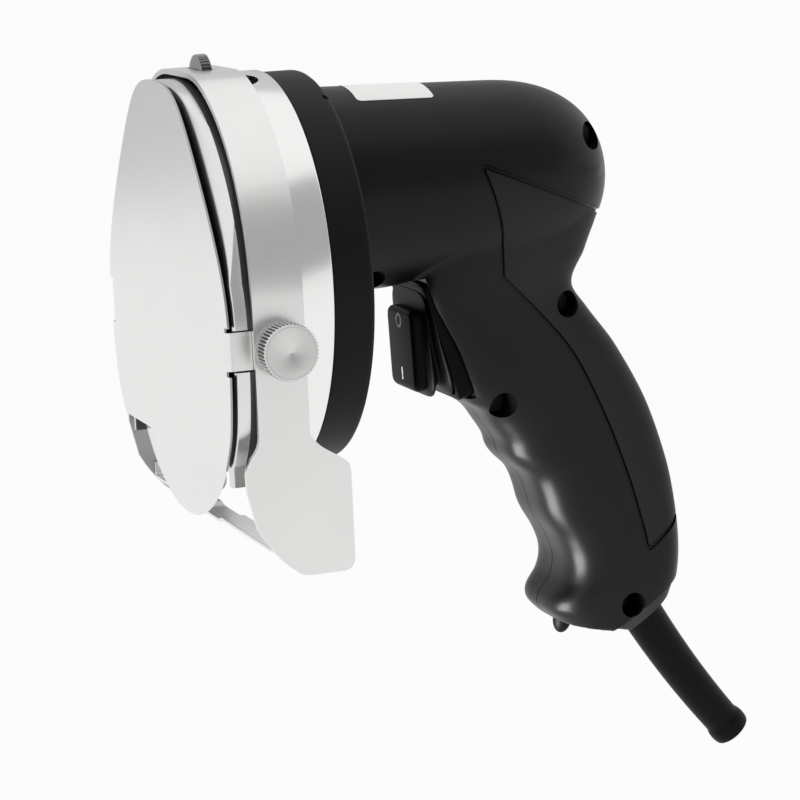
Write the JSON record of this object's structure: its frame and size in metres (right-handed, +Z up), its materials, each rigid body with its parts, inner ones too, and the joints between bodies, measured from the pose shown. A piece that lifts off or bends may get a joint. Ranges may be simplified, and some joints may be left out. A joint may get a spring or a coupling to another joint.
{
  "type": "electric kebab slicer",
  "caption": "Pistol-grip electric slicer: a round knife behind a flat front plate, an adjustable guard band with paddles, a motor barrel and a rocker switch in the grip.",
  "frame": {"origin": "outer face of the front plate, on the axis of the round head", "axes": "+X from the front plate back along the motor barrel, +Y to the tool's right seen from behind, +Z up, away from the grip's foot"},
  "size_m": [0.1827, 0.1402, 0.2292],
  "materials": {
    "satin_steel": "satin stainless sheet, fine grain",
    "blade_steel": "ground and turned steel",
    "polished_aluminium": "polished casting",
    "turned_steel": "turned, with a fine knurl",
    "zinc_steel": "zinc plated",
    "flange_black": "satin black moulding",
    "black_plastic": "fine moulded grain",
    "inlay_rubber": "soft touch, matt",
    "black_rubber": "matt moulded rubber",
    "acetal": "cut acetal",
    "iron_core": "dark stacked sheet and ferrite",
    "copper": "turned copper",
    "carbon": "pressed carbon",
    "board": "coated board"
  },
  "bodies": {
    "handle": {"front_plate": "satin_steel", "front_bearing": "blade_steel", "rear_bearing": "blade_steel", "motor_bearing_front": "blade_steel", "motor_bearing_rear": "blade_steel", "drum_housing": "polished_aluminium", "flange_screw_1": "zinc_steel", "flange_screw_2": "zinc_steel", "flange_screw_3": "zinc_steel", "wheel_stud": "zinc_steel", "motor_can": "zinc_steel", "housing_screw_1": "zinc_steel", "housing_screw_2": "zinc_steel", "housing_screw_3": "zinc_steel", "housing_screw_4": "zinc_steel", "housing_screw_5": "zinc_steel", "switch_pin": "zinc_steel", "head_flange": "flange_black", "housing_left": "black_plastic", "housing_right": "black_plastic", "switch_body": "black_plastic", "switch_bezel": "black_plastic", "brush_plate": "black_plastic", "capacitor": "black_plastic", "grip_inlay_left": "inlay_rubber", "grip_inlay_right": "inlay_rubber", "strain_relief": "black_rubber", "base_bumper": "black_rubber", "switch_bellows": "black_rubber", "magnet_upper": "iron_core", "magnet_lower": "iron_core", "brush_left": "carbon", "brush_right": "carbon", "rectifier_board": "board"},
    "blade_spindle": {"spindle": "zinc_steel", "blade": "blade_steel", "blade_screw": "zinc_steel", "clamp_washer": "zinc_steel", "drive_gear": "acetal"},
    "motor_rotor": {"motor_shaft": "zinc_steel", "motor_pinion": "zinc_steel", "armature_core": "iron_core", "commutator": "copper", "cooling_fan": "black_plastic"},
    "guard": {"guard_frame": "satin_steel", "cross_strip": "satin_steel"},
    "thickness_wheel": {"thickness_wheel": "turned_steel"},
    "collar_left": {"knob_collar_left": "turned_steel"},
    "collar_right": {"knob_collar_right": "turned_steel"},
    "knob_left": {"side_knob_left": "turned_steel"},
    "knob_right": {"side_knob_right": "turned_steel"},
    "switch_rocker": {"switch_rocker": "black_plastic"}
  },
  "joints": [
    {"name": "blade_spin", "type": "hinge", "parent": "handle", "child": "blade_spindle", "pos_m": [0, 0, -0.015], "axis": [1, 0, 0], "continuous": true},
    {"name": "motor_spin", "type": "hinge", "parent": "handle", "child": "motor_rotor", "pos_m": [0, 0, 0.02125], "axis": [1, 0, 0], "continuous": true},
    {"name": "guard_slide", "type": "slide", "parent": "handle", "child": "guard", "axis": [1, 0, 0], "range_m": [-0.003, 0.003]},
    {"name": "wheel_spin", "type": "hinge", "parent": "guard", "child": "thickness_wheel", "pos_m": [0.0146, 0, 0.0564], "axis": [1, 0, 0], "range_deg": [-1542, 1542]},
    {"name": "collar_slide_left", "type": "slide", "parent": "handle", "child": "collar_left", "axis": [0, -1, 0], "range_m": [0, 0.0014]},
    {"name": "knob_spin_left", "type": "hinge", "parent": "collar_left", "child": "knob_left", "pos_m": [0.015, -0.0668, -0.0136], "axis": [0, -1, 0], "range_deg": [0, 720]},
    {"name": "collar_slide_right", "type": "slide", "parent": "handle", "child": "collar_right", "axis": [0, 1, 0], "range_m": [0, 0.0014]},
    {"name": "knob_spin_right", "type": "hinge", "parent": "collar_right", "child": "knob_right", "pos_m": [0.015, 0.0668, -0.0136], "axis": [0, 1, 0], "range_deg": [0, 720]},
    {"name": "rocker_tilt", "type": "hinge", "parent": "handle", "child": "switch_rocker", "pos_m": [0.081, 0, -0.028], "axis": [0, -1, 0], "range_deg": [0, 14], "deforming": ["switch_bellows"]}
  ],
  "couplings": [
    {"joint": "motor_spin", "follows": "blade_spin", "ratio": -3.8333},
    {"joint": "collar_slide_left", "follows": "knob_spin_left", "m_per_rad": 0.00011141},
    {"joint": "collar_slide_right", "follows": "knob_spin_right", "m_per_rad": 0.00011141}
  ]
}
